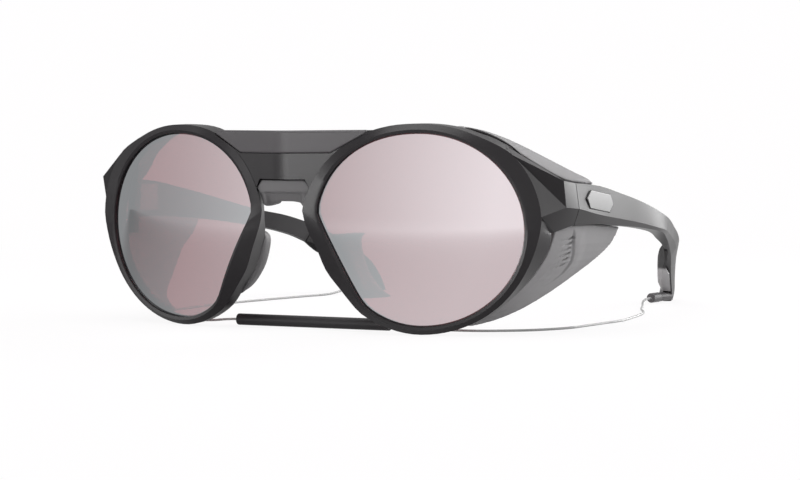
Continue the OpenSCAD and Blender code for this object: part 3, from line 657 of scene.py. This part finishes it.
# %% The shields
shield = softened("side_shield_left", "shield_left", 0.00024, 2)
count = len(shield.data.vertices)
spots, ways = np.empty(count * 3), np.empty(count * 3)
shield.data.vertices.foreach_get("co", spots)
shield.data.vertices.foreach_get("normal", ways)
spots, ways = spots.reshape(-1, 3), ways.reshape(-1, 3)
rise = relief(spots[:, 1] * 1000, spots[:, 2] * 1000) * ease(ways[:, 0], 0.15, 0.5)
spots += rise[:, None] / 1000 * np.array((0.94, 0, -0.34)) + ways * 0.00007
y, z = spots[:, 1] * 1000, spots[:, 2] * 1000
beside_arm = ease(y, -48, -45)
spots[:, 2] += (0.00025 * ease(ways[:, 2], 0.5, 0.8) * ease(z, 26.5, 27.5)
    * (1 - ease(z, 31, 32)) * beside_arm)
spots[:, 2] -= (0.00020 * ease(-ways[:, 2], 0.5, 0.8) * ease(z, 38.5, 39)
    * (1 - ease(z, 42, 42.5)) * beside_arm)
shield.data.vertices.foreach_set("co", spots.ravel())
thin = shield.modifiers.new("fewer faces", "DECIMATE")
thin.ratio = 0.5
apply_all(shield)
print("relief", round(rise.min(), 2), "to", round(rise.max(), 2), "mm")
twin = bpy.data.objects.new("shield_right", shield.data.copy())
bpy.context.scene.collection.objects.link(twin)
twin.data.transform(Matrix.Scale(-1, 4, (1, 0, 0)))
twin.data.flip_normals()
for piece, side in ((shield, "left"), (twin, "right")):
    dress(piece, "front", shield_rubber, "shield_rubber", f"side_shield_{side}", smooth=50)

# %% [markdown]
# A thin black wire lies along the front edge of the upper lobe over the rim, as painted shade
# of the slot between them. It is swept, thickest at its inner end, and runs out towards the arm.

# %% Painted shade in the brow slots
SLOT_SHADE_LINE = [(46.7, -59.00, 54.62, 0.36), (47.9, -58.90, 54.55, 0.52), (50.66, -58.40, 53.84, 0.50),
    (53.28, -57.70, 52.84, 0.46), (55.9, -56.90, 51.57, 0.42), (58.41, -56.30, 50.14, 0.38),
    (60.5, -55.85, 48.53, 0.30), (61.4, -55.65, 47.73, 0.12)]      # x, y, z, radius


# A black wire put in the brow slot as painted shade, where there is only a shadow gap.
def slot_shade_wire(side, flip):
    wire = bpy.data.curves.new(f"brow_bead_{side}", "CURVE")
    wire.dimensions = "3D"
    wire.bevel_depth = 0.001
    wire.bevel_resolution = 3
    wire.use_fill_caps = True
    wire.resolution_u = 6
    line = wire.splines.new("NURBS")
    line.points.add(len(SLOT_SHADE_LINE) - 1)
    line.use_endpoint_u = True
    line.order_u = 4
    for point, (x, y, z, radius) in zip(line.points, SLOT_SHADE_LINE):
        point.co = (x * flip / 1000, y / 1000, z / 1000, 1)
        point.radius = radius
    piece = bpy.data.objects.new(f"brow_bead_{side}", wire)
    bpy.context.scene.collection.objects.link(piece)
    pick(piece)
    bpy.ops.object.convert(target="MESH")
    return dress(bpy.context.object, "front", nylon, "frame_nylon", smooth=50)


for side, flip in (("left", 1), ("right", -1)):
    slot_shade_wire(side, flip)


# %% [markdown]
# ## Mirror lenses
# A mirror shows every facet. So the lens's copy is cut finer and each point of its two faces
# is put exactly on the ball that the face belongs to.

# %% Lenses on exact balls
FACING = 0.55      # a face that looks this much along the lens's axis is skin, the rest is edge


def ball_through(points):
    """Centre and radius of the ball that lies closest to some points."""
    p = np.array(points)
    answer = np.linalg.lstsq(np.c_[2 * p, np.ones(len(p))], (p**2).sum(1), rcond=None)[0]
    centre = answer[:3]
    return Vector(centre), float((answer[3] + centre @ centre) ** 0.5)


def fine_lens(side):
    node = f"lens_{side}"
    lens = joined_copy(node, f"mirror_{side}")
    low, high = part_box(node)
    front_way = Vector(((low.x + high.x) / 2 * 3.3, -1, 0)).normalized()
    mesh = lens.data
    skins = {way: [f for f in mesh.polygons if f.normal.dot(front_way) * way > FACING]
        for way in (1, -1)}
    balls = {way: ball_through([mesh.vertices[i].co for f in faces for i in f.vertices])
        for way, faces in skins.items()}
    print(node, {way: round(ball[1] * 1000, 2) for way, ball in balls.items()})
    pick(lens)
    bpy.ops.object.mode_set(mode="EDIT")
    bpy.ops.mesh.select_all(action="SELECT")
    bpy.ops.mesh.quads_convert_to_tris()
    bpy.ops.mesh.subdivide(number_cuts=1)
    bpy.ops.object.mode_set(mode="OBJECT")
    for way, (centre, radius) in balls.items():
        for face in mesh.polygons:
            if face.normal.dot(front_way) * way > FACING:
                for i in face.vertices:
                    arm = mesh.vertices[i].co - centre
                    mesh.vertices[i].co = centre + arm * (radius / arm.length)
    walls = {i for f in mesh.polygons if abs(f.normal.dot(front_way)) <= FACING
        for i in f.vertices}
    tree = kdtree.KDTree(len(walls))
    for i in walls:
        tree.insert(mesh.vertices[i].co, i)
    tree.balance()
    inward = mesh.attributes.new("inward", "FLOAT", "POINT")
    inward.data.foreach_set("value", [tree.find(v.co)[2] for v in mesh.vertices])
    coat = mirror_coat(side, *balls[1])
    return dress(lens, "front", coat, "mirror_lens", node, smooth=30)


for side in ("left", "right"):
    fine_lens(side)

# %% [markdown]
# ## Arms
# Everything on an arm folds with it: the plate let into its side, the rubber on the inside of
# its ear end, one hinge leaf, and the clip and collar that hold the leash at its tip. The other
# hinge leaf and the screw stay with the front.

# %% Arms and their ends
for side in ("left", "right"):
    arm_body = f"temple_{side}"
    rounded(f"temple_{side}", f"arm_{side}", arm_body, nylon, "frame_nylon", 0.0002,
        angle=14, smooth=32)
    rounded(f"ear_sock_{side}", f"ear_end_{side}", arm_body, ear_rubber, "sock_rubber", 0.0002, 30)
    rounded(f"temple_badge_{side}", f"plate_{side}", arm_body, plate_steel, "steel", 0.0002, 30)
    rounded(f"leash_connector_{side}", f"barrel_{side}", arm_body, connector_plastic,
        "connector_plastic", 0.0002, 40)
    rounded(f"leash_collar_{side}", f"collar_{side}", arm_body, collar_plastic,
        "dark_rubber", 0.0005, 40, 3)
    for node in (f"hinge_leaf_front_{side}", f"hinge_leaf_temple_{side}", f"hinge_screw_{side}"):
        body = arm_body if "temple" in node else "front"
        rounded(node, node.replace("hinge_", "pin_"), body, black_steel, "steel", 0.0001, 40)

# %% [markdown]
# The sleeve joins the two cables and lies still. Each cable takes its coated finish and stands
# in for the cable and end solids, which are hidden.

# %% The sleeve and the cables' finish
sleeve = rounded("leash_sleeve", "sleeve", "front", black_rubber, "dark_rubber", 0.0003, 40)
for side, cable, path, far_end in (("left", cable_left, left_path, "fitting"),
        ("right", cable_right, right_path[::-1], "object")):
    cable.data.materials.clear()
    cable.data.materials.append(cable_coat)
    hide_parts(f"leash_cable_{side}", f"leash_end_{side}")
    length_of(path)
    [sleeve] if side == "left" else []
    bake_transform(cable)

# %% [markdown]
# Three small lamps give the bar, the bridge and the cut ends their sheen. The mirror lenses
# would show them as white slabs, so they light everything except the lenses.

# %% What the sheen lamps light
all_but_lenses = bpy.data.collections.new("all but the lenses")
for piece in bpy.data.objects:
    if piece.type in ("MESH", "CURVE") and not piece.name.startswith("mirror"):
        all_but_lenses.objects.link(piece)
for lamp in sheen_lamps:
    lamp.light_linking.receiver_collection = all_but_lenses
